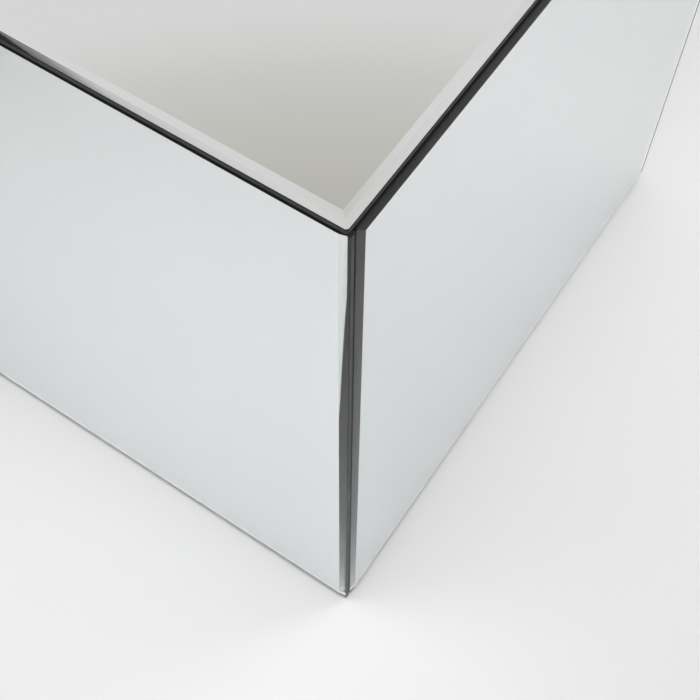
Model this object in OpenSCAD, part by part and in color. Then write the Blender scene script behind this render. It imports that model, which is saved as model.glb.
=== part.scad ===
// Mirrored block: a closed cube of boards, clad on the top and four sides with bevelled mirrors.
// Millimetres, +Z up, front is -Y. The origin is on the floor, under the middle of the block.

/* [Overall] */
// Width over the faces of the left and right mirrors
width = 400; // [300:1:600]
// Depth over the faces of the front and back mirrors
depth = 400; // [300:1:600]
// Height from the floor to the face of the top mirror
height = 400; // [300:1:700]

/* [Mirrors] */
// Thickness of every mirror
glass_t = 4; // [3.5:0.1:6]
// Width of the bevel round the top mirror
top_bevel_w = 5.8; // [4:0.1:15]
// Glass that this bevel takes off at the edge
top_bevel_drop = 1.3; // [0.5:0.1:2.4]
// Width of the bevel round the side mirrors
side_bevel_w = 4.4; // [4:0.1:15]
// Glass that this bevel takes off at the edge
side_bevel_drop = 1.35; // [0.5:0.05:2.4]
// Chamfer that blunts the sharp edges of the glass
seam = 0.25; // [0.1:0.05:0.4]
// Cut that blunts each corner of a mirror
corner_dub = 1; // [0.5:0.1:3]
// Set-back of the top mirror's left and right edges from the side mirrors' faces
top_inset_x = 2; // [0:0.1:4]
// Set-back of the top mirror's front and back edges from the side mirrors' faces
top_inset_y = 0.4; // [0:0.1:4]
// Set-back of the front and back mirrors' ends from the left and right mirrors' faces
end_inset = 1.2; // [0:0.1:3]
// Gap at the corners, from a left or right mirror's end to the back of the next mirror
corner_gap = 0.7; // [0.2:0.1:2]

/* [Bonding] */
// Thickness of the foam tape, and of the adhesive squeezed between mirror and board
tape_t = 0.8; // [0.5:0.1:3]
// Width of a tape strip
tape_w = 19; // [10:1:30]
// Tape strips behind each mirror
tape_count = 4; // [2:1:5]
// Width of a squeezed adhesive bead
bead_w = 11; // [6:1:16]
// Clear border between a mirror's edge and the bonding
bond_margin = 28; // [20:1:60]

/* [Boards] */
// Thickness of the six boards
board_t = 15; // [12:0.5:22]
// Clearance round the base board, which is fitted last
base_clear = 0.5; // [0.2:0.1:2]

/* [Blocks and battens] */
// Side of the square glue blocks that stand in the corners
block_w = 28; // [20:1:40]
// Chamfer on each glue block's free edge
block_chamfer = 6; // [1:1:10]
// Side of the square battens over the base board
batten_w = 20; // [18:1:30]

/* [Dowels] */
// Diameter of a dowel
dowel_d = 8; // [6:1:10]
// Length of a dowel
dowel_l = 28; // [24:1:36]
// Depth of the dowel holes in a board's face
dowel_face_depth = 9; // [6:0.5:10]
// Difference between a dowel's and its hole's diameter
dowel_fit = 0.1; // [0.05:0.05:0.3]
// Spare depth at the inner end of a hole in a board's edge
dowel_spare = 1; // [0.5:0.5:3]
// Distance from a board's end to its first dowel
dowel_end = 55; // [40:1:80]
// Dowels along each joint
dowel_count = 3; // [2:1:4]

/* [Screws] */
// Shank diameter of the wood screws
screw_d = 4; // [3:0.5:5]
// Head diameter of the wood screws
head_d = 8; // [7:0.5:9]
// Length of the wood screws
screw_l = 28; // [24:1:30]
// Distance from the middle of a batten to its base board screws
base_screw_x = 95; // [70:1:100]
// Distance from the middle of a batten to the screws through its side
batten_screw_x = 55; // [30:1:65]
// Difference between a screw's and its hole's diameter
screw_fit = 0.2; // [0.1:0.1:0.6]

/* [Feet] */
// Diameter of a foot
foot_d = 30; // [24:1:40]
// Height of a foot, which is the gap under the side mirrors
foot_h = 5; // [2.6:0.1:6]
// Distance from the edge of the base board to the middle of a foot
foot_inset = 32; // [25:1:50]
// Length of the screw in a foot
foot_screw_l = 13; // [10:1:14]
// Shank diameter of the screw in a foot
foot_screw_d = 3; // [2.5:0.5:3.5]
// Head diameter of the screw in a foot
foot_head_d = 6; // [5:0.5:7]

/* [Hidden] */
$fn = 48;
eps = 0.01;

// Levels and planes that the pieces share
bond = glass_t + tape_t;               // from a mirror's face to the board behind it
body_top = height - bond;              // top of the top board and of the side mirrors
wall_top = body_top - board_t;         // top edge of the four wall boards
out_x = width / 2 - bond;              // outer faces of the left and right boards
out_y = depth / 2 - bond;              // outer faces of the front and back boards
in_x = out_x - board_t;                // inner faces of the left and right boards
in_y = out_y - board_t;                // inner faces of the front and back boards
base_top = foot_h + board_t;           // upper face of the base board
batten_top = base_top + batten_w;
side_h = body_top - foot_h;            // height of the side mirrors
side_z = (body_top + foot_h) / 2;      // middle of the side mirrors
front_w = width - 2 * end_inset;       // length of the front and back mirrors
flank_w = depth - 2 * (glass_t + corner_gap);  // length of the left and right mirrors
top_w = width - 2 * top_inset_x;
top_d = depth - 2 * top_inset_y;
dowel_edge_depth = dowel_l - dowel_face_depth + dowel_spare;
foot_counterbore = 2;                  // depth of the recess for the screw head in a foot

glass_colour = "silver";
foam_colour = "#3a3a3c";
adhesive_colour = "#d9d8d2";
board_colour = "#2c2a28";
pine_colour = "#d6b583";
beech_colour = "#c9a06a";
zinc_colour = "#b9b7a8";
foot_colour = "#1e1e20";

// ---- Placing -------------------------------------------------------------------

// Puts a flat piece drawn in XY behind one face of the block: its z = 0 is the mirror's back,
// +z points out of the block
module at_face(face) {
    if (face == "top") translate([0, 0, height - glass_t]) children();
    if (face == "front") translate([0, glass_t - depth / 2, side_z]) rotate([90, 0, 0]) children();
    if (face == "back") rotate([0, 0, 180]) at_face("front") children();
    if (face == "right") translate([width / 2 - glass_t, 0, side_z]) rotate([90, 0, 90]) children();
    if (face == "left") rotate([0, 0, 180]) at_face("right") children();
}

// The size of the mirror on one face
function face_w(face) = face == "top" ? top_w : (face == "front" || face == "back") ? front_w : flank_w;
function face_h(face) = face == "top" ? top_d : side_h;

// Positions of n things spread evenly from -reach to reach
function spread(n, reach) = [for (i = [0:n - 1]) n == 1 ? 0 : -reach + 2 * reach * i / (n - 1)];

// Repeats children in the four corners, at (+-x, +-y)
module corners(x, y) {
    for (sx = [-1, 1]) for (sy = [-1, 1]) translate([sx * x, sy * y, 0]) children();
}

// ---- Mirrors -------------------------------------------------------------------

// Outline of the glass at an edge that lies at x, from the back face to the front: a bevelled
// edge, and a plain one that is only ground square
function bevelled_edge(x, bevel_w, drop) = [
    [x - seam, 0], [x, seam], [x, glass_t - drop - seam],
    [x - seam, glass_t - drop + seam * drop / bevel_w], [x - bevel_w, glass_t]
];
function plain_edge(x) = [[x - seam, 0], [x, seam], [x, glass_t - seam], [x - seam, glass_t]];

// The same outline at the opposite edge, from the front face to the back
function opposite(edge) = [for (i = [len(edge) - 1:-1:0]) [-edge[i][0], edge[i][1]]];

// A pane, w by h: the two sections cross, so the bevels meet in a mitre. Its edge at +y can be plain
module pane(w, h, bevel_w, drop, plain_top = false) {
    side = bevelled_edge(w / 2, bevel_w, drop);
    bottom = bevelled_edge(h / 2, bevel_w, drop);
    top = plain_top ? plain_edge(h / 2) : bottom;
    color(glass_colour) difference() {
        intersection() {
            translate([0, h / 2, 0]) rotate([90, 0, 0]) linear_extrude(h)
                polygon(concat(side, opposite(side)));
            translate([-w / 2, 0, 0]) rotate([90, 0, 90]) linear_extrude(w)
                polygon(concat(top, opposite(bottom)));
        }
        for (sx = [-1, 1]) for (sy = [-1, 1]) translate([sx * w / 2, sy * h / 2, -eps])
            linear_extrude(glass_t + 2 * eps) rotate([0, 0, 45])
                square(corner_dub * sqrt(2), center = true);
    }
}

// The top edges of the front and back mirrors are plain, as the top mirror ends flush with them
module mirror_pane(face) {
    at_face(face)
        if (face == "top") pane(top_w, top_d, top_bevel_w, top_bevel_drop);
        else pane(face_w(face), side_h, side_bevel_w, side_bevel_drop, face == "front" || face == "back");
}

// ---- Bonding -------------------------------------------------------------------

// Strips of foam tape that hold a mirror while its adhesive cures
module mirror_tape(face) {
    reach = face_w(face) / 2 - bond_margin - tape_w / 2;
    strip_l = face_h(face) - 2 * bond_margin;
    color(foam_colour) at_face(face) for (x = spread(tape_count, reach))
        translate([x - tape_w / 2, -strip_l / 2, -tape_t]) cube([tape_w, strip_l, tape_t]);
}

// Beads of adhesive, pressed flat between the tape strips
module mirror_adhesive(face) {
    reach = face_w(face) / 2 - bond_margin - tape_w / 2;
    pitch = 2 * reach / (tape_count - 1);
    bead_l = face_h(face) - 2 * bond_margin - bead_w;
    color(adhesive_colour) at_face(face) for (x = spread(tape_count - 1, reach - pitch / 2))
        translate([x, 0, -tape_t]) linear_extrude(tape_t) {
            square([bead_w, bead_l], center = true);
            for (s = [-1, 1]) translate([0, s * bead_l / 2]) circle(d = bead_w);
        }
}

// ---- Boards --------------------------------------------------------------------

// Hole for a dowel, its mouth at z = 0 and its end at z = -depth
module dowel_hole(depth) {
    translate([0, 0, -depth]) cylinder(d = dowel_d + dowel_fit, h = depth + eps);
}

function wall_dowel_heights() = let (mid = (wall_top + foot_h) / 2)
    [for (z = spread(dowel_count, (wall_top - foot_h) / 2 - dowel_end)) mid + z];
function long_top_dowels() = spread(dowel_count, out_x - dowel_end);
function short_top_dowels() = spread(dowel_count, in_y - dowel_end);

// The dowel positions of the top joint: [x, y] on the top edges of the four walls
function top_dowel_places() = concat(
    [for (s = [-1, 1]) for (x = long_top_dowels()) [x, s * (out_y - board_t / 2)]],
    [for (s = [-1, 1]) for (y = short_top_dowels()) [s * (out_x - board_t / 2), y]]
);

module top_board() {
    color(board_colour) difference() {
        translate([-out_x, -out_y, wall_top]) cube([2 * out_x, 2 * out_y, board_t]);
        for (p = top_dowel_places()) translate([p[0], p[1], wall_top]) mirror([0, 0, 1])
            dowel_hole(dowel_face_depth);
    }
}

// Front wall: full width, with blind holes for the dowels of the flank walls that butt against it
module front_board() {
    color(board_colour) difference() {
        translate([-out_x, -out_y, foot_h]) cube([2 * out_x, board_t, wall_top - foot_h]);
        for (x = long_top_dowels()) translate([x, board_t / 2 - out_y, wall_top])
            dowel_hole(dowel_edge_depth);
        for (s = [-1, 1]) for (z = wall_dowel_heights())
            translate([s * (out_x - board_t / 2), -in_y, z]) rotate([-90, 0, 0])
                dowel_hole(dowel_face_depth);
        for (x = [-batten_screw_x, batten_screw_x]) translate([x, -in_y + batten_w, 0])
            batten_screw_hole();
    }
}

// Right wall: between the front and back walls
module right_board() {
    color(board_colour) difference() {
        translate([in_x, -in_y, foot_h]) cube([board_t, 2 * in_y, wall_top - foot_h]);
        for (y = short_top_dowels()) translate([in_x + board_t / 2, y, wall_top])
            dowel_hole(dowel_edge_depth);
        for (s = [-1, 1]) for (z = wall_dowel_heights())
            translate([in_x + board_t / 2, s * in_y, z]) rotate([-s * 90, 0, 0])
                dowel_hole(dowel_edge_depth);
        for (y = [-batten_screw_x, batten_screw_x]) translate([in_x - batten_w, y, 0]) rotate([0, 0, 90])
            batten_screw_hole();
    }
}

// Base board: drops in between the walls from below, and is screwed up into the battens
module base_board() {
    color(board_colour) difference() {
        translate([base_clear - in_x, base_clear - in_y, foot_h])
            cube([2 * (in_x - base_clear), 2 * (in_y - base_clear), board_t]);
        for (p = base_screw_places()) translate([p[0], p[1], foot_h]) screw_hole();
        corners(foot_x(), foot_y()) translate([0, 0, foot_h - eps])
            cylinder(d = foot_screw_d + screw_fit, h = foot_screw_l + foot_counterbore - foot_h + 2 * eps);
    }
}

// ---- Glue blocks and battens ------------------------------------------------------

// Glue block in the corner at (sx, sy): its free edge, which points inwards, is chamfered
module corner_block(sx, sy) {
    section = [[0, 0], [block_w, 0], [block_w, block_w - block_chamfer], [block_w - block_chamfer, block_w],
        [0, block_w]];
    color(pine_colour) translate([sx * in_x, sy * in_y, batten_top]) linear_extrude(wall_top - batten_top)
        polygon([for (p = section) [-sx * p[0], -sy * p[1]]]);
}

// Batten along the front wall, between the two flank battens
module front_batten() {
    color(pine_colour) difference() {
        translate([-in_x, -in_y, base_top]) cube([2 * in_x, batten_w, batten_w]);
        for (x = [-batten_screw_x, batten_screw_x]) translate([x, -in_y + batten_w, 0])
            batten_screw_hole();
        for (x = [-base_screw_x, base_screw_x]) translate([x, batten_w / 2 - in_y, foot_h]) screw_hole();
    }
}

module right_batten() {
    color(pine_colour) difference() {
        translate([in_x - batten_w, batten_w - in_y, base_top])
            cube([batten_w, 2 * (in_y - batten_w), batten_w]);
        for (y = [-batten_screw_x, batten_screw_x]) translate([in_x - batten_w, y, 0]) rotate([0, 0, 90])
            batten_screw_hole();
        for (y = [-base_screw_x, base_screw_x]) translate([in_x - batten_w / 2, y, foot_h]) screw_hole();
    }
}

// ---- Dowels ----------------------------------------------------------------------

// Dowel that stands face_depth deep in a board's face at z = 0 and points along -z
module dowel() {
    tip = 1;
    color(beech_colour) translate([0, 0, dowel_face_depth - dowel_l]) {
        cylinder(d1 = dowel_d - 2 * tip, d2 = dowel_d, h = tip);
        translate([0, 0, tip]) cylinder(d = dowel_d, h = dowel_l - 2 * tip);
        translate([0, 0, dowel_l - tip]) cylinder(d1 = dowel_d, d2 = dowel_d - 2 * tip, h = tip);
    }
}

module wall_dowels() {
    for (sx = [-1, 1]) for (sy = [-1, 1]) for (z = wall_dowel_heights())
        translate([sx * (out_x - board_t / 2), sy * in_y, z]) rotate([-sy * 90, 0, 0]) dowel();
}

module top_dowels() {
    for (p = top_dowel_places()) translate([p[0], p[1], wall_top]) dowel();
}

// ---- Screws ----------------------------------------------------------------------

// Countersunk screw: its flat head is at z = 0 and it points along +z
module countersunk_screw(d, head, l) {
    cone = (head - d) / 2;
    land = 0.4;
    tip = d;
    slot = [0.22 * head, 0.6 * head, 0.2 * head];
    color(zinc_colour) difference() {
        union() {
            cylinder(d = head, h = land);
            translate([0, 0, land]) cylinder(d1 = head, d2 = d, h = cone);
            translate([0, 0, land + cone]) cylinder(d = d, h = l - tip - land - cone);
            translate([0, 0, l - tip]) cylinder(d1 = d, d2 = 0.2 * d, h = tip);
        }
        for (a = [0, 90]) rotate([0, 0, a]) translate([-slot[0] / 2, -slot[1] / 2, -eps])
            cube([slot[0], slot[1], slot[2]]);
    }
}

// Hole for a wood screw whose head is flush with a face at z = 0, and which points along +z
module screw_hole() {
    cone = (head_d - screw_d) / 2;
    land = 0.4;
    translate([0, 0, -eps]) cylinder(d = head_d + screw_fit, h = land + eps);
    translate([0, 0, land]) cylinder(d1 = head_d + screw_fit, d2 = screw_d + screw_fit, h = cone);
    translate([0, 0, land]) cylinder(d = screw_d + screw_fit, h = screw_l - land + eps);
}

// The same hole lying down: from the inner face of a batten at y = 0 out into the wall behind it
module batten_screw_hole() {
    translate([0, 0, base_top + batten_w / 2]) rotate([90, 0, 0]) screw_hole();
}

function base_screw_places() = concat(
    [for (sy = [-1, 1]) for (x = [-base_screw_x, base_screw_x]) [x, sy * (in_y - batten_w / 2)]],
    [for (sx = [-1, 1]) for (y = [-base_screw_x, base_screw_x]) [sx * (in_x - batten_w / 2), y]]
);

module base_screws() {
    for (p = base_screw_places()) translate([p[0], p[1], foot_h])
        countersunk_screw(screw_d, head_d, screw_l);
}

module batten_screws() {
    z = base_top + batten_w / 2;
    for (turn = [0, 180]) rotate([0, 0, turn]) for (s = [-batten_screw_x, batten_screw_x]) {
        translate([s, batten_w - in_y, z]) rotate([90, 0, 0]) countersunk_screw(screw_d, head_d, screw_l);
        translate([in_x - batten_w, s, z]) rotate([0, 90, 0]) countersunk_screw(screw_d, head_d, screw_l);
    }
}

// ---- Feet ------------------------------------------------------------------------

function foot_x() = in_x - base_clear - foot_inset;
function foot_y() = in_y - base_clear - foot_inset;

// Round glide with rounded rim, counterbored for its screw
module foot(sx, sy) {
    rim = 1;
    color(foot_colour) translate([sx * foot_x(), sy * foot_y(), 0]) difference() {
        union() {
            cylinder(d1 = foot_d - 2 * rim, d2 = foot_d, h = rim);
            translate([0, 0, rim]) cylinder(d = foot_d, h = foot_h - rim);
        }
        translate([0, 0, -eps]) cylinder(d = foot_head_d + 2 * screw_fit, h = foot_counterbore + eps);
        translate([0, 0, -eps]) cylinder(d = foot_screw_d + screw_fit, h = foot_h + 2 * eps);
    }
}

// Pan head screw: its head sits in the counterbore of a foot
module foot_screw() {
    head_h = 1.5;
    slot = [0.2 * foot_head_d, 0.6 * foot_head_d, 0.15 * foot_head_d];
    color(zinc_colour) translate([0, 0, foot_counterbore]) difference() {
        union() {
            translate([0, 0, -head_h]) cylinder(d1 = foot_head_d - 1, d2 = foot_head_d, h = head_h / 2);
            translate([0, 0, -head_h / 2]) cylinder(d = foot_head_d, h = head_h / 2);
            cylinder(d = foot_screw_d, h = foot_screw_l - foot_screw_d);
            translate([0, 0, foot_screw_l - foot_screw_d])
                cylinder(d1 = foot_screw_d, d2 = 0.2 * foot_screw_d, h = foot_screw_d);
        }
        for (a = [0, 90]) rotate([0, 0, a]) translate([-slot[0] / 2, -slot[1] / 2, -head_h - eps])
            cube([slot[0], slot[1], slot[2]]);
    }
}

module foot_screws() {
    corners(foot_x(), foot_y()) foot_screw();
}

// ---- Assembly ---------------------------------------------------------------------

mirror_pane("top");  // top_mirror
mirror_pane("front");  // front_mirror
mirror_pane("back");  // back_mirror
mirror_pane("left");  // left_mirror
mirror_pane("right");  // right_mirror
mirror_tape("top");  // top_mirror_tape
mirror_tape("front");  // front_mirror_tape
mirror_tape("back");  // back_mirror_tape
mirror_tape("left");  // left_mirror_tape
mirror_tape("right");  // right_mirror_tape
mirror_adhesive("top");  // top_mirror_adhesive
mirror_adhesive("front");  // front_mirror_adhesive
mirror_adhesive("back");  // back_mirror_adhesive
mirror_adhesive("left");  // left_mirror_adhesive
mirror_adhesive("right");  // right_mirror_adhesive
top_board();
base_board();
front_board();
rotate([0, 0, 180]) front_board();  // back_board
rotate([0, 0, 180]) right_board();  // left_board
right_board();
corner_block(-1, -1);  // corner_block_front_left
corner_block(1, -1);  // corner_block_front_right
corner_block(-1, 1);  // corner_block_back_left
corner_block(1, 1);  // corner_block_back_right
front_batten();  // batten_front
rotate([0, 0, 180]) front_batten();  // batten_back
rotate([0, 0, 180]) right_batten();  // batten_left
right_batten();  // batten_right
wall_dowels();
top_dowels();
batten_screws();
base_screws();
foot(-1, -1);  // foot_front_left
foot(1, -1);  // foot_front_right
foot(-1, 1);  // foot_back_left
foot(1, 1);  // foot_back_right
foot_screws();
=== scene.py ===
import bpy
import bmesh
import math
from mathutils import Euler, Matrix, Vector


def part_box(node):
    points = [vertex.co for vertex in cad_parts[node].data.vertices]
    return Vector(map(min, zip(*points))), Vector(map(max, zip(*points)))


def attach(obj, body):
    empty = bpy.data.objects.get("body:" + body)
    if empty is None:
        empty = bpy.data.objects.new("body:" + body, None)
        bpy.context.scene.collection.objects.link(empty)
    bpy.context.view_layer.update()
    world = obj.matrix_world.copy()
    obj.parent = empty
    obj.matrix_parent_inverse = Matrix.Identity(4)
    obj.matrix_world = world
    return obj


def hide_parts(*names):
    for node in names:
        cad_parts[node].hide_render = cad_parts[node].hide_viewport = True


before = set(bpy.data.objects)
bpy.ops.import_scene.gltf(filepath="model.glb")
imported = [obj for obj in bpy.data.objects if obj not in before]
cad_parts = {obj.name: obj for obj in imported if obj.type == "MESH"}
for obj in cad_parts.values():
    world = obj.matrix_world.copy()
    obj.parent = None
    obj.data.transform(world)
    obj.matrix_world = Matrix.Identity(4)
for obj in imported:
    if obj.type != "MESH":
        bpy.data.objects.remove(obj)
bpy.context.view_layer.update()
mm = 0.001
scene = bpy.context.scene

print("studio")

# A close view down onto the front right top corner
viewCamera = {
    "place": (0.3326, -0.4035, 0.7484),
    "lens": 63.95,
    "sensor": 36.0,
    "pitchDown": 60.499,   # degrees below the horizon
    "heading": 33.109,     # degrees to the left of +Y
    "roll": 0.751,
}

# A pale floor with soft lamps over it, under a sky that is brightest low at the back left
studio = {
    "floorSize": 60.0,
    "floorColour": (0.86, 0.87, 0.882),
    # elevation in degrees, linear grey, red and blue as shares of it: towards the bright side, then elsewhere
    "sky": [(0, 0.50, 1.01, 1.0), (18, 0.50, 1.01, 1.0), (22, 0.92, 1.013, 0.999),
            (31, 0.92, 1.02, 0.999), (37, 0.79, 1.023, 0.999), (41, 0.775, 1.024, 0.999),
            (45, 0.768, 1.026, 0.999), (46.5, 0.725, 1.027, 0.979), (48, 0.656, 1.033, 0.959),
            (50.5, 0.595, 1.038, 0.943), (53.5, 0.527, 1.042, 0.933), (60, 0.48, 1.042, 0.938),
            (66, 0.45, 1.03, 0.959), (72, 0.34, 1.02, 0.98), (90, 0.38, 1.02, 0.98)],
    "dimSky": [(0, 0.50, 1.03, 0.98), (18, 0.50, 1.03, 0.98), (22, 0.28, 1.03, 0.98),
               (36, 0.28, 1.03, 0.98), (44, 0.76, 1.03, 0.98), (60, 0.48, 1.03, 0.97),
               (72, 0.34, 1.02, 0.98), (90, 0.38, 1.02, 0.98)],
    "brightSide": (-0.60, 0.80, 0.0),
    "brightSideEdge": (0.38, 0.55),   # cosines between which the one sky turns into the other
    # soft lamps over the floor in front and on the right: place, aim, power, spread in degrees
    "lamps": [((-0.40, -0.45, 1.3), (-0.10, -0.25, 0), 0.46, 40.0),
              ((0.30, -0.55, 1.4), (0.15, -0.24, 0), 0.53, 40.0),
              ((1.10, -0.25, 1.2), (0.30, -0.05, 0), 0.31, 60.0),
              ((0.60, 0.70, 1.2), (0.27, 0.25, 0), 0.59, 40.0)],
    "lampSize": 0.6,
}


def makeCamera(setup):
    bpy.ops.object.camera_add(location=setup["place"])
    camera = bpy.context.object
    camera.name = "viewCamera"
    turn = Euler((math.radians(90 - setup["pitchDown"]), 0, math.radians(setup["heading"])))
    roll = Matrix.Rotation(math.radians(setup["roll"]), 3, "Z")
    camera.rotation_euler = (turn.to_matrix() @ roll).to_euler()
    camera.data.lens = setup["lens"]
    camera.data.sensor_width = setup["sensor"]
    camera.data.clip_start = 0.01
    camera.data.clip_end = 100
    scene.camera = camera


def makeSky(values):
    # two ramps from the horizon to the zenith, mixed by how near a direction is to the bright side
    world = bpy.data.worlds.new("studioSky")
    scene.world = world
    world.use_nodes = True
    nodes, links = world.node_tree.nodes, world.node_tree.links
    background = nodes["Background"]
    coords = nodes.new("ShaderNodeTexCoord")
    split = nodes.new("ShaderNodeSeparateXYZ")
    links.new(coords.outputs["Generated"], split.inputs[0])
    towards = nodes.new("ShaderNodeVectorMath")
    towards.operation = "DOT_PRODUCT"
    towards.inputs[1].default_value = values["brightSide"]
    links.new(coords.outputs["Generated"], towards.inputs[0])
    side = nodes.new("ShaderNodeMapRange")
    side.interpolation_type = "SMOOTHSTEP"
    side.inputs["From Min"].default_value, side.inputs["From Max"].default_value = values["brightSideEdge"]
    links.new(towards.outputs["Value"], side.inputs["Value"])
    mix = nodes.new("ShaderNodeMix")
    mix.data_type = "RGBA"
    links.new(side.outputs["Result"], mix.inputs["Factor"])
    for socket, key in ((mix.inputs[6], "dimSky"), (mix.inputs[7], "sky")):
        ramp = nodes.new("ShaderNodeValToRGB")
        elements = ramp.color_ramp.elements
        while len(elements) < len(values[key]):
            elements.new(0.5)
        for element, (elevation, grey, red, blue) in zip(elements, values[key]):
            element.position = math.sin(math.radians(elevation))
            element.color = (grey * red, grey, grey * blue, 1)
        links.new(split.outputs["Z"], ramp.inputs[0])
        links.new(ramp.outputs["Color"], socket)
    links.new(mix.outputs[2], background.inputs["Color"])


def makeLamp(name, place, aim, power, spread):
    bpy.ops.object.light_add(type="AREA", location=place)
    lamp = bpy.context.object
    lamp.name = name
    lamp.data.size = studio["lampSize"]
    lamp.data.spread = math.radians(spread)
    lamp.data.energy = power
    lamp.rotation_euler = (Vector(place) - Vector(aim)).to_track_quat("Z", "Y").to_euler()
    lamp.visible_glossy = False
    lamp.visible_transmission = False


makeCamera(viewCamera)
makeSky(studio)
for index, lamp in enumerate(studio["lamps"]):
    makeLamp("softLamp" + str(index + 1), *lamp)
scene.view_settings.view_transform = "Standard"
# Light that is trapped in the glass is followed to its end
scene.cycles.max_bounces = 64
scene.cycles.glossy_bounces = 64
scene.cycles.transmission_bounces = 64
scene.cycles.diffuse_bounces = 6

print("materials")

surfaces = {
    "glassIndex": 1.52,
    "glassTint": (0.62, 0.76, 0.64, 1),
    "tintDensity": 4.0,      # per metre
    "wave": 0.08,            # length of the waves in drawn glass, in metres
    "waveHeight": 0.000006,
    "bevelWave": 0.004,      # and of the marks that grinding leaves
    "bevelHeight": 0.0000006,
    "silver": ((0.846, 0.866, 0.872), (0.854, 0.873, 0.878)),
}


def newMaterial(name):
    material = bpy.data.materials.new(name)
    material.use_nodes = True
    return material, material.node_tree, material.node_tree.nodes["Principled BSDF"]


def newGroup(name, inputs, outputs):
    group = bpy.data.node_groups.new(name, "ShaderNodeTree")
    for label, kind, value in inputs:
        socket = group.interface.new_socket(name=label, in_out="INPUT", socket_type=kind)
        if value is not None:
            socket.default_value = value
    for label, kind in outputs:
        group.interface.new_socket(name=label, in_out="OUTPUT", socket_type=kind)
    return group, group.nodes.new("NodeGroupInput"), group.nodes.new("NodeGroupOutput")


def mathNode(tree, operation, first, second):
    # each operand is a socket or a number
    node = tree.nodes.new("ShaderNodeMath")
    node.operation = operation
    for socket, value in zip(node.inputs, (first, second)):
        if isinstance(value, (int, float)):
            socket.default_value = value
        else:
            tree.links.new(value, socket)
    return node.outputs[0]


def mixColours(tree, factor, first, second):
    # each colour is a socket or three numbers
    node = tree.nodes.new("ShaderNodeMix")
    node.data_type = "RGBA"
    tree.links.new(factor, node.inputs["Factor"])
    for socket, value in zip((node.inputs[6], node.inputs[7]), (first, second)):
        if isinstance(value, tuple):
            socket.default_value = (*value, 1)
        else:
            tree.links.new(value, socket)
    return node.outputs[2]


def mapRange(tree, value, low, high):
    node = tree.nodes.new("ShaderNodeMapRange")
    node.inputs["To Min"].default_value = low
    node.inputs["To Max"].default_value = high
    tree.links.new(value, node.inputs["Value"])
    return node.outputs["Result"]


def makeSpeckleGroup():
    # two sizes of irregular spots: a mask of blotches, and a height of fine grains
    group, start, end = newGroup(
        "speckle",
        [("Vector", "NodeSocketVector", None), ("Blotch Scale", "NodeSocketFloat", 20.0),
         ("Grain Scale", "NodeSocketFloat", 1500.0), ("Contrast", "NodeSocketFloat", 1.0)],
        [("Blotches", "NodeSocketFloat"), ("Grains", "NodeSocketFloat")])
    blotch = group.nodes.new("ShaderNodeTexNoise")
    blotch.inputs["Detail"].default_value = 6
    grain = group.nodes.new("ShaderNodeTexNoise")
    grain.inputs["Detail"].default_value = 3
    for noise, scale in ((blotch, "Blotch Scale"), (grain, "Grain Scale")):
        group.links.new(start.outputs["Vector"], noise.inputs["Vector"])
        group.links.new(start.outputs[scale], noise.inputs["Scale"])
    centred = mathNode(group, "SUBTRACT", blotch.outputs["Fac"], 0.5)
    stretched = mathNode(group, "MULTIPLY", centred, start.outputs["Contrast"])
    shifted = mathNode(group, "ADD", stretched, 0.5)
    group.links.new(mathNode(group, "MINIMUM", mathNode(group, "MAXIMUM", shifted, 0.0), 1.0),
                    end.inputs["Blotches"])
    group.links.new(grain.outputs["Fac"], end.inputs["Grains"])
    return group


def makeGrainGroup():
    # wood with its grain along Z: growth rings across it, fibres and pores along it
    group, start, end = newGroup(
        "woodGrain",
        [("Vector", "NodeSocketVector", None), ("Ring Scale", "NodeSocketFloat", 60.0),
         ("Fibre Scale", "NodeSocketFloat", 900.0)],
        [("Rings", "NodeSocketFloat"), ("Fibres", "NodeSocketFloat"), ("Height", "NodeSocketFloat")])
    stretch = group.nodes.new("ShaderNodeVectorMath")
    stretch.operation = "MULTIPLY"
    stretch.inputs[1].default_value = (1, 1, 0.06)
    group.links.new(start.outputs["Vector"], stretch.inputs[0])
    rings = group.nodes.new("ShaderNodeTexWave")
    rings.wave_type = "RINGS"
    rings.rings_direction = "Z"
    rings.wave_profile = "SAW"
    rings.inputs["Distortion"].default_value = 3.5
    rings.inputs["Detail"].default_value = 2
    rings.inputs["Detail Scale"].default_value = 0.6
    fibres = group.nodes.new("ShaderNodeTexNoise")
    fibres.inputs["Detail"].default_value = 4
    for texture, scale in ((rings, "Ring Scale"), (fibres, "Fibre Scale")):
        group.links.new(stretch.outputs[0], texture.inputs["Vector"])
        group.links.new(start.outputs[scale], texture.inputs["Scale"])
    group.links.new(rings.outputs["Fac"], end.inputs["Rings"])
    group.links.new(fibres.outputs["Fac"], end.inputs["Fibres"])
    ridge = mathNode(group, "MULTIPLY", rings.outputs["Fac"], 0.4)
    group.links.new(mathNode(group, "ADD", ridge, fibres.outputs["Fac"]), end.inputs["Height"])
    return group


speckleGroup = makeSpeckleGroup()
grainGroup = makeGrainGroup()


def addGroup(tree, group, vector, **values):
    node = tree.nodes.new("ShaderNodeGroup")
    node.node_tree = group
    tree.links.new(vector, node.inputs["Vector"])
    for label, value in values.items():
        node.inputs[label].default_value = value
    return node


def objectPlace(tree, turn=(0, 0, 0), move=(0, 0, 0)):
    coords = tree.nodes.new("ShaderNodeTexCoord")
    mapping = tree.nodes.new("ShaderNodeMapping")
    mapping.inputs["Rotation"].default_value = [math.radians(angle) for angle in turn]
    mapping.inputs["Location"].default_value = move
    tree.links.new(coords.outputs["Object"], mapping.inputs["Vector"])
    return mapping.outputs["Vector"]


def addBump(tree, shader, height, distance):
    bump = tree.nodes.new("ShaderNodeBump")
    bump.inputs["Distance"].default_value = distance
    tree.links.new(height, bump.inputs["Height"])
    tree.links.new(bump.outputs["Normal"], shader.inputs["Normal"])


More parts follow.
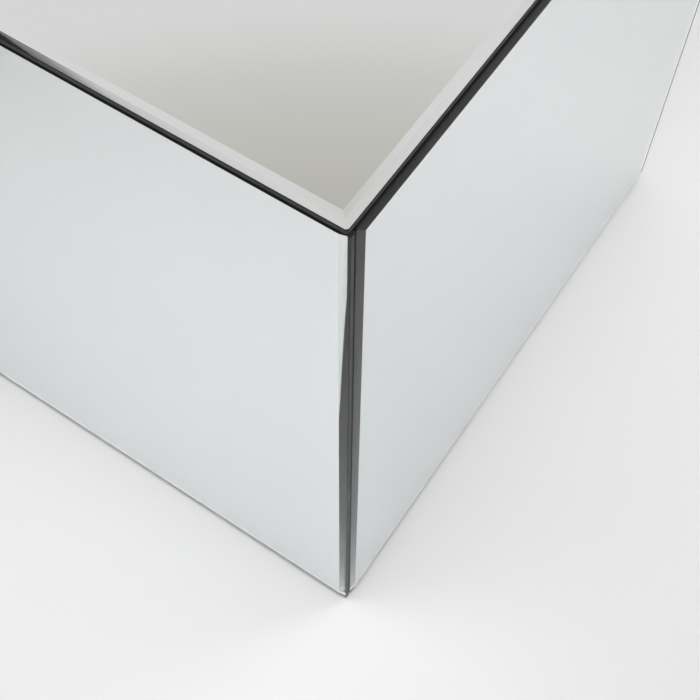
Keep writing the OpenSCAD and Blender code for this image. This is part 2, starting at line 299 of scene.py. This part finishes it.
def makeGlass(values):
    # float glass: its face is barely wavy, and its bevels carry fine grinding marks
    material, tree, shader = newMaterial("clearFloatGlass")
    shader.inputs["Base Color"].default_value = (1, 1, 1, 1)
    shader.inputs["IOR"].default_value = values["glassIndex"]
    shader.inputs["Transmission Weight"].default_value = 1.0
    place = objectPlace(tree)
    grinding = tree.nodes.new("ShaderNodeAttribute")
    grinding.attribute_name = "grinding"   # 1 on a bevel
    drawn = tree.nodes.new("ShaderNodeTexNoise")
    drawn.inputs["Scale"].default_value = 1 / values["wave"]
    drawn.inputs["Detail"].default_value = 0
    ground = tree.nodes.new("ShaderNodeTexNoise")
    ground.inputs["Scale"].default_value = 1 / values["bevelWave"]
    ground.inputs["Detail"].default_value = 1
    for noise in (drawn, ground):
        tree.links.new(place, noise.inputs["Vector"])
    marks = mathNode(tree, "MULTIPLY", ground.outputs["Fac"], values["bevelHeight"])
    marks = mathNode(tree, "MULTIPLY", marks, grinding.outputs["Fac"])
    waves = mathNode(tree, "MULTIPLY", drawn.outputs["Fac"], values["waveHeight"])
    addBump(tree, shader, mathNode(tree, "ADD", waves, marks), 1.0)
    shader.inputs["Roughness"].default_value = 0.0
    volume = tree.nodes.new("ShaderNodeVolumeAbsorption")
    volume.inputs["Color"].default_value = values["glassTint"]
    volume.inputs["Density"].default_value = values["tintDensity"]
    tree.links.new(volume.outputs[0], tree.nodes["Material Output"].inputs["Volume"])
    return material


def makeSilver(colours):
    material, tree, shader = newMaterial("silvering")
    speckles = addGroup(tree, speckleGroup, objectPlace(tree), **{"Blotch Scale": 9.0, "Contrast": 1.2})
    colour = mixColours(tree, speckles.outputs["Blotches"], *colours)
    tree.links.new(colour, shader.inputs["Base Color"])
    shader.inputs["Metallic"].default_value = 1.0
    shader.inputs["Roughness"].default_value = 0.0
    return material


def makeSpeckled(name, dark, light, blotch, grain, height, roughness, specular=0.5):
    # a blotched coat with fine grains in relief: paint, plastic, foam, cured adhesive
    material, tree, shader = newMaterial(name)
    speckles = addGroup(tree, speckleGroup, objectPlace(tree),
                        **{"Blotch Scale": blotch, "Grain Scale": grain, "Contrast": 1.8})
    mask = mathNode(tree, "MULTIPLY", speckles.outputs["Blotches"], speckles.outputs["Grains"])
    mask = mathNode(tree, "ADD", mathNode(tree, "MULTIPLY", mask, 0.8), 0.25)
    tree.links.new(mixColours(tree, mask, dark, light), shader.inputs["Base Color"])
    tree.links.new(mapRange(tree, speckles.outputs["Blotches"], *roughness), shader.inputs["Roughness"])
    shader.inputs["Specular IOR Level"].default_value = specular
    addBump(tree, shader, speckles.outputs["Grains"], height)
    return material


def makeWood(name, turn, early, late, ringScale, fibreScale):
    # the grain runs along Z before the turn
    material, tree, shader = newMaterial(name)
    grain = addGroup(tree, grainGroup, objectPlace(tree, turn, (0.11, 0.07, 0)),
                     **{"Ring Scale": ringScale, "Fibre Scale": fibreScale})
    ringed = mixColours(tree, grain.outputs["Rings"], early, late)
    shaded = tree.nodes.new("ShaderNodeMix")
    shaded.data_type = "RGBA"
    shaded.blend_type = "MULTIPLY"
    shaded.inputs["Factor"].default_value = 0.35
    tree.links.new(ringed, shaded.inputs[6])
    tree.links.new(grain.outputs["Fibres"], shaded.inputs[7])
    tree.links.new(shaded.outputs[2], shader.inputs["Base Color"])
    tree.links.new(mapRange(tree, grain.outputs["Fibres"], 0.48, 0.72), shader.inputs["Roughness"])
    shader.inputs["Specular IOR Level"].default_value = 0.3
    addBump(tree, shader, grain.outputs["Height"], 0.00012)
    return material


def makeZinc():
    material, tree, shader = newMaterial("zincPlating")
    speckles = addGroup(tree, speckleGroup, objectPlace(tree),
                        **{"Blotch Scale": 240.0, "Grain Scale": 2600.0, "Contrast": 2.0})
    colour = mixColours(tree, speckles.outputs["Blotches"], (0.62, 0.62, 0.58), (0.74, 0.70, 0.60))
    tree.links.new(colour, shader.inputs["Base Color"])
    shader.inputs["Metallic"].default_value = 1.0
    tree.links.new(mapRange(tree, speckles.outputs["Grains"], 0.24, 0.46), shader.inputs["Roughness"])
    addBump(tree, shader, speckles.outputs["Grains"], 0.00001)
    return material


glassMaterial = makeGlass(surfaces)
silverMaterial = makeSilver(surfaces["silver"])
backingMaterial = makeSpeckled("backingPaint", (0.10, 0.12, 0.11), (0.16, 0.19, 0.17), 30, 900, 0.00002,
                               (0.35, 0.5))
edgeMaterial = makeSpeckled("edgeSealer", (0.010, 0.012, 0.008), (0.020, 0.023, 0.016), 60, 2400, 0.00003,
                            (0.35, 0.5), 0.3)
boardMaterial = makeSpeckled("mattBlackPaint", (0.016, 0.015, 0.014), (0.032, 0.030, 0.028), 25, 1400,
                             0.00010, (0.55, 0.75), 0.35)
foamMaterial = makeSpeckled("blackFoam", (0.018, 0.018, 0.020), (0.075, 0.075, 0.082), 60, 2400, 0.00030,
                            (0.85, 0.98), 0.2)
adhesiveMaterial = makeSpeckled("curedAdhesive", (0.60, 0.59, 0.54), (0.76, 0.75, 0.71), 90, 500, 0.00006,
                                (0.28, 0.42))
glideMaterial = makeSpeckled("mouldedGlide", (0.020, 0.020, 0.022), (0.036, 0.036, 0.040), 120, 3200, 0.00006,
                             (0.38, 0.55))
blotchColour = tuple(0.985 * shade for shade in studio["floorColour"])
floorMaterial = makeSpeckled("studioFloorPaint", studio["floorColour"], blotchColour, 3, 40, 0.0,
                             (0.6, 0.75), 0.15)
zincMaterial = makeZinc()
pineColours = ((0.70, 0.50, 0.27), (0.50, 0.29, 0.12))
pineAlong = {
    "x": makeWood("pineLengthways", (0, 90, 0), *pineColours, 45, 900),
    "y": makeWood("pineCrossways", (90, 0, 0), *pineColours, 45, 900),
    "z": makeWood("pineUpright", (0, 0, 0), *pineColours, 45, 900),
}
beechMaterial = makeWood("turnedBeech", (0, 0, 0), (0.56, 0.36, 0.20), (0.44, 0.26, 0.14), 140, 1500)


def makeFloor(size):
    bpy.ops.object.select_all(action="DESELECT")
    bpy.ops.mesh.primitive_plane_add(size=size)
    floor = bpy.context.object
    floor.name = "studioFloor"
    floor.data.materials.append(floorMaterial)


makeFloor(studio["floorSize"])

print("boards, bonding and timber")


def dress(node, material):
    # the CAD node keeps its shape and takes a better material
    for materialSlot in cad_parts[node].material_slots:
        materialSlot.material = material


for face in ("top", "front", "back", "left", "right"):
    dress(face + "_board", boardMaterial)
    dress(face + "_mirror_tape", foamMaterial)
    dress(face + "_mirror_adhesive", adhesiveMaterial)
dress("base_board", boardMaterial)
for side, along in (("front", "x"), ("back", "x"), ("left", "y"), ("right", "y")):
    dress("batten_" + side, pineAlong[along])
for corner in ("front_left", "front_right", "back_left", "back_right"):
    dress("corner_block_" + corner, pineAlong["z"])
dress("wall_dowels", beechMaterial)
dress("top_dowels", beechMaterial)

print("mirrors")

mirrorPane = {
    "glass": 4.0,
    "paint": 0.06,         # silvering and backing paint, within the thickness of the glass
    "paintGap": 0.004,
    "topBevel": 5.8,
    "topDrop": 1.3,
    "sideBevel": 4.4,
    "sideDrop": 1.35,
    "rings": 8,            # strips across a bevel
    "topRounding": 0.10,   # how much steeper a bevel is at its edge than at its top, as a share
    "sideRounding": 0.43,
    "seam": 0.25,
    "cornerDub": 1.0,
}


def pick(piece, mode, test):
    # selects the faces or edges that pass a test, in edit mode
    bpy.ops.mesh.select_mode(type=mode)
    bpy.ops.mesh.select_all(action="DESELECT")
    edit = bmesh.from_edit_mesh(piece.data)
    for part in (edit.faces if mode == "FACE" else edit.edges):
        if test(part):
            part.select_set(True)
    edit.select_flush_mode()
    bmesh.update_edit_mesh(piece.data)


def onOutline(edge):
    # where the glass's ground edge meets its face, its bevel or its back
    steep = [abs(face.normal.z) > 0.5 for face in edge.link_faces]
    return len(steep) == 2 and steep[0] != steep[1]


def cutAway(point, outward):
    # takes off what lies beyond a plane, and closes the cut
    bpy.ops.mesh.select_all(action="SELECT")
    bpy.ops.mesh.bisect(plane_co=point, plane_no=outward, use_fill=True, clear_outer=True)


def makePane(name, width, height, bevel, drop, rounding, plainTop):
    # the pane lies with its back towards -z; a plain top edge is made by cutting its bevel off
    values = mirrorPane
    spare = bevel if plainTop else 0
    bottom, foot = values["paint"] * mm, (values["glass"] - drop) * mm
    bpy.ops.object.select_all(action="DESELECT")
    bpy.ops.mesh.primitive_cube_add(size=1, location=(0, spare * mm / 2, (bottom + foot) / 2),
                                    scale=(width * mm, (height + spare) * mm, foot - bottom))
    pane = bpy.context.object
    pane.name = name
    bpy.ops.object.transform_apply(location=True, rotation=True, scale=True)
    bpy.ops.object.mode_set(mode="EDIT")
    pick(pane, "FACE", lambda face: face.normal.z > 0.5)
    for ring in range(values["rings"]):
        share = (ring + 0.5) / values["rings"]
        rise = drop / values["rings"] * (1 + rounding * (0.5 - share))
        bpy.ops.mesh.inset(thickness=bevel / values["rings"] * mm, depth=rise * mm)
    if plainTop:
        cutAway((0, height * mm / 2, 0), (0, 1, 0))
    for x in (-1, 1):
        for y in (-1, 1):
            cut = (x * (width - values["cornerDub"]) * mm / 2, y * (height - values["cornerDub"]) * mm / 2, 0)
            cutAway(cut, (x, y, 0))
    pick(pane, "EDGE", onOutline)
    bpy.ops.mesh.bevel(offset=values["seam"] * mm, segments=1, affect="EDGES")
    bpy.ops.mesh.select_all(action="SELECT")
    bpy.ops.mesh.normals_make_consistent(inside=False)
    bpy.ops.object.mode_set(mode="OBJECT")
    for material in (glassMaterial, silverMaterial, edgeMaterial):
        pane.data.materials.append(material)
    grinding = pane.data.attributes.new("grinding", "FLOAT", "FACE")
    for polygon in pane.data.polygons:
        facing = polygon.normal.z
        polygon.material_index = 1 if facing < -0.99 else 2 if facing < 0.9 else 0
        grinding.data[polygon.index].value = 1 if 0.9 < facing < 0.9999 else 0
    bpy.ops.object.shade_smooth_by_angle(angle=math.radians(4))
    return pane


def makeBacking(name, width, height):
    # the coat of paint behind the silvering, short of the ground edges
    values = mirrorPane
    low, high = values["paintGap"] * mm, (values["paint"] - values["paintGap"]) * mm
    inset = 2 * values["seam"]
    bpy.ops.object.select_all(action="DESELECT")
    bpy.ops.mesh.primitive_cube_add(size=1, location=(0, 0, (low + high) / 2),
                                    scale=((width - inset) * mm, (height - inset) * mm, high - low))
    backing = bpy.context.object
    backing.name = name
    bpy.ops.object.transform_apply(location=True, rotation=True, scale=True)
    bpy.ops.object.mode_set(mode="EDIT")
    pick(backing, "EDGE", lambda edge: abs(edge.verts[0].co.z - edge.verts[1].co.z) > (high - low) / 2)
    bpy.ops.mesh.bevel(offset=values["cornerDub"] * mm, segments=3, affect="EDGES")
    bpy.ops.object.mode_set(mode="OBJECT")
    backing.data.materials.append(backingMaterial)
    return backing


def facePlace(face, low, high):
    # from a pane lying on its back at the origin to its side of the block
    glass = mirrorPane["glass"] * mm
    if face == "top":
        return Matrix.Translation((0, 0, high.z - glass))
    turns = {"front": 0, "right": 90, "back": 180, "left": 270}
    outermost = max(high.x, -low.x) if face in ("left", "right") else max(high.y, -low.y)
    stand = Matrix.Rotation(math.radians(90), 4, "X")
    turn = Matrix.Rotation(math.radians(turns[face]), 4, "Z")
    return turn @ Matrix.Translation((0, glass - outermost, (low.z + high.z) / 2)) @ stand


def settle(piece, place):
    # moves a piece to its place, and leaves its object at the origin
    bpy.ops.object.select_all(action="DESELECT")
    piece.select_set(True)
    bpy.context.view_layer.objects.active = piece
    piece.matrix_world = place
    bpy.ops.object.transform_apply(location=True, rotation=True, scale=True)


def hang(piece, node, place):
    settle(piece, place)
    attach(piece, "root")
    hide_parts(node)


for face in ("top", "front", "back", "left", "right"):
    low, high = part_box(face + "_mirror")
    size = (high - low) / mm
    bevel, drop, rounding = (mirrorPane[key] for key in ("sideBevel", "sideDrop", "sideRounding"))
    width, height = (size.y if face in ("left", "right") else size.x), size.z
    if face == "top":
        bevel, drop, rounding = (mirrorPane[key] for key in ("topBevel", "topDrop", "topRounding"))
        height = size.y
    place = facePlace(face, low, high)
    pane = makePane(face + "_mirror_glass", width, height, bevel, drop, rounding, face in ("front", "back"))
    hang(pane, face + "_mirror", place)
    hang(makeBacking(face + "_mirror_backing", width, height), face + "_mirror", place)

print("glides and screws")

glide = {
    "radius": 15.0,
    "rim": 1.0,
    "hole": 1.6,
    # its underside from the rim inwards: radius and step, with a shallow ring and a counterbore
    "turning": [(12.0, 0), (11.7, -0.3), (8.3, 0), (8.0, 0.3), (3.2, 0), (3.2, -2.0), (1.6, 0)],
}


def makeGlide(name, height):
    radius = glide["radius"] - glide["rim"]
    bpy.ops.object.select_all(action="DESELECT")
    bpy.ops.mesh.primitive_cylinder_add(vertices=64, radius=glide["radius"] * mm, depth=height,
                                        location=(0, 0, height / 2))
    piece = bpy.context.object
    piece.name = name
    bpy.ops.object.transform_apply(location=True, rotation=True, scale=True)
    bpy.ops.object.mode_set(mode="EDIT")
    pick(piece, "EDGE", lambda edge: all(vert.co.z < 0.01 * mm for vert in edge.verts))
    bpy.ops.mesh.bevel(offset=glide["rim"] * mm, segments=5, affect="EDGES")
    pick(piece, "FACE", lambda face: face.normal.z < -0.99)
    for inner, step in glide["turning"]:
        bpy.ops.mesh.inset(thickness=(radius - inner) * mm, depth=step * mm)
        radius = inner
    pick(piece, "FACE", lambda face: face.normal.z > 0.99 and len(face.verts) > 4)
    bpy.ops.mesh.inset(thickness=(glide["radius"] - glide["hole"]) * mm)
    # the two round faces that are left open into each other
    pick(piece, "FACE", lambda face: len(face.verts) > 4)
    bpy.ops.mesh.bridge_edge_loops()
    bpy.ops.object.mode_set(mode="OBJECT")
    bpy.ops.object.shade_smooth_by_angle(angle=math.radians(35))
    piece.data.materials.append(glideMaterial)
    return piece


def copyOf(piece, name):
    twin = piece.copy()
    twin.data = piece.data.copy()
    twin.name = name
    scene.collection.objects.link(twin)
    return twin


glideNodes = ["foot_front_left", "foot_front_right", "foot_back_left", "foot_back_right"]
glides = [makeGlide(glideNodes[0] + "_glide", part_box(glideNodes[0])[1].z)]
glides += [copyOf(glides[0], node + "_glide") for node in glideNodes[1:]]
for piece, node in zip(glides, glideNodes):
    low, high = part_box(node)
    hang(piece, node, Matrix.Translation(((low.x + high.x) / 2, (low.y + high.y) / 2, 0)))

countersunkScrew = {
    "head": 4.0,            # radius of the head, then the height of its straight rim and the rounding of that
    "land": 0.4,
    "rim": 0.1,
    # from the head to the point: radius and rise
    "turning": [(2.0, 2.0), (2.0, 3.0), (1.4, 0.3), (1.4, 20.3), (0.3, 2.0)],
    "thread": (2.0, 6.0, 18.0, 1.8),   # outer radius, start, length, pitch
    "recess": (1.2, 4.6, 1.5),         # width, span, depth
}
panHeadScrew = {
    "head": 3.0,
    "land": 1.5,
    "rim": 0.7,
    "turning": [(1.5, 0), (1.5, 1.0), (1.05, 0.2), (1.05, 9.3), (0.3, 2.5)],
    "thread": (1.5, 3.2, 9.0, 1.3),
    "recess": (0.9, 3.4, 0.8),
}


def makeThread(outer, start, length, pitch):
    # a triangle that points outwards is wound up into a ridge, and its two ends are closed
    radius = 0.34 * pitch
    bpy.ops.object.select_all(action="DESELECT")
    bpy.ops.mesh.primitive_circle_add(vertices=3, radius=radius * mm,
                                      location=((outer - radius) * mm, 0, start * mm),
                                      rotation=(0, math.radians(-90), math.radians(-90)))
    thread = bpy.context.object
    bpy.ops.object.transform_apply(location=True, rotation=True, scale=True)
    winding = thread.modifiers.new("winding", "SCREW")
    winding.axis = "Z"
    winding.screw_offset = pitch * mm
    winding.iterations = round(length / pitch)
    winding.steps = 20
    winding.render_steps = 20
    bpy.ops.object.modifier_apply(modifier=winding.name)
    bpy.ops.object.mode_set(mode="EDIT")
    bpy.ops.mesh.select_all(action="SELECT")
    bpy.ops.mesh.fill_holes(sides=3)
    bpy.ops.mesh.select_all(action="SELECT")
    bpy.ops.mesh.normals_make_consistent(inside=False)
    bpy.ops.object.mode_set(mode="OBJECT")
    return thread


def makeScrew(name, values):
    # the head lies on the ground plane and the point is up
    radius, land = values["head"], values["land"]
    width, span, depth = values["recess"]
    bpy.ops.object.select_all(action="DESELECT")
    bpy.ops.mesh.primitive_cylinder_add(vertices=32, radius=radius * mm, depth=land * mm,
                                        location=(0, 0, land * mm / 2))
    screw = bpy.context.object
    screw.name = name
    bpy.ops.object.transform_apply(location=True, rotation=True, scale=True)
    bpy.ops.object.mode_set(mode="EDIT")
    pick(screw, "FACE", lambda face: face.normal.z > 0.99)
    for outline, rise in values["turning"]:
        bpy.ops.mesh.inset(thickness=(radius - outline) * mm, depth=rise * mm)
        radius = outline
    pick(screw, "EDGE", lambda edge: all(vert.co.z < 0.01 * mm for vert in edge.verts))
    bpy.ops.mesh.bevel(offset=values["rim"] * mm, segments=4, affect="EDGES")
    bpy.ops.object.mode_set(mode="OBJECT")
    for turn in (0, 90):
        bpy.ops.object.select_all(action="DESELECT")
        bpy.ops.mesh.primitive_cube_add(size=1, scale=(width * mm, span * mm, 2 * depth * mm),
                                        rotation=(0, 0, math.radians(turn)))
        cutter = bpy.context.object
        bpy.ops.object.transform_apply(location=True, rotation=True, scale=True)
        bpy.context.view_layer.objects.active = screw
        cut = screw.modifiers.new("recess", "BOOLEAN")
        cut.operation = "DIFFERENCE"
        cut.object = cutter
        bpy.ops.object.modifier_apply(modifier=cut.name)
        bpy.data.objects.remove(cutter)
    thread = makeThread(*values["thread"])
    bpy.ops.object.select_all(action="DESELECT")
    thread.select_set(True)
    screw.select_set(True)
    bpy.context.view_layer.objects.active = screw
    bpy.ops.object.join()
    bpy.ops.object.shade_smooth_by_angle(angle=math.radians(35))
    screw.data.materials.clear()
    screw.data.materials.append(zincMaterial)
    return screw


def hangScrews(node, values, places):
    # one screw is modelled, and copies of it are set at every place and joined
    screws = [makeScrew(node + "_threaded", values)]
    screws += [copyOf(screws[0], node + "_copy") for place in places[1:]]
    for screw, place in zip(screws, places):
        settle(screw, place)
    bpy.ops.object.select_all(action="DESELECT")
    for screw in screws:
        screw.select_set(True)
    bpy.context.view_layer.objects.active = screws[0]
    bpy.ops.object.join()
    hang(screws[0], node, Matrix.Identity(4))


# along a side from its middle, and outwards from the middle of the block
screwPlaces = {
    "base": (95.0, 170.2),
    "batten": (55.0, 160.2),
    "foot": (147.7, 147.7),
}
quarterTurns = [Matrix.Rotation(math.radians(angle), 4, "Z") for angle in (0, 90, 180, 270)]


def pairsOfPlaces(spot, height, turn):
    # two places on each side of the block, with the screw turned to its direction there
    along, across = spot
    pair = [Matrix.Translation((way * along * mm, -across * mm, height)) @ turn for way in (-1, 1)]
    return [quarterTurn @ place for quarterTurn in quarterTurns for place in pair]


upright = Matrix.Identity(4)
lying = Matrix.Rotation(math.radians(90), 4, "X")
low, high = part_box("base_screws")
hangScrews("base_screws", countersunkScrew, pairsOfPlaces(screwPlaces["base"], low.z, upright))
low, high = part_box("batten_screws")
height = low.z + countersunkScrew["head"] * mm
hangScrews("batten_screws", countersunkScrew, pairsOfPlaces(screwPlaces["batten"], height, lying))
low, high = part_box("foot_screws")
along, across = screwPlaces["foot"]
corner = Matrix.Translation((along * mm, across * mm, low.z))
hangScrews("foot_screws", panHeadScrew, [quarterTurn @ corner for quarterTurn in quarterTurns])
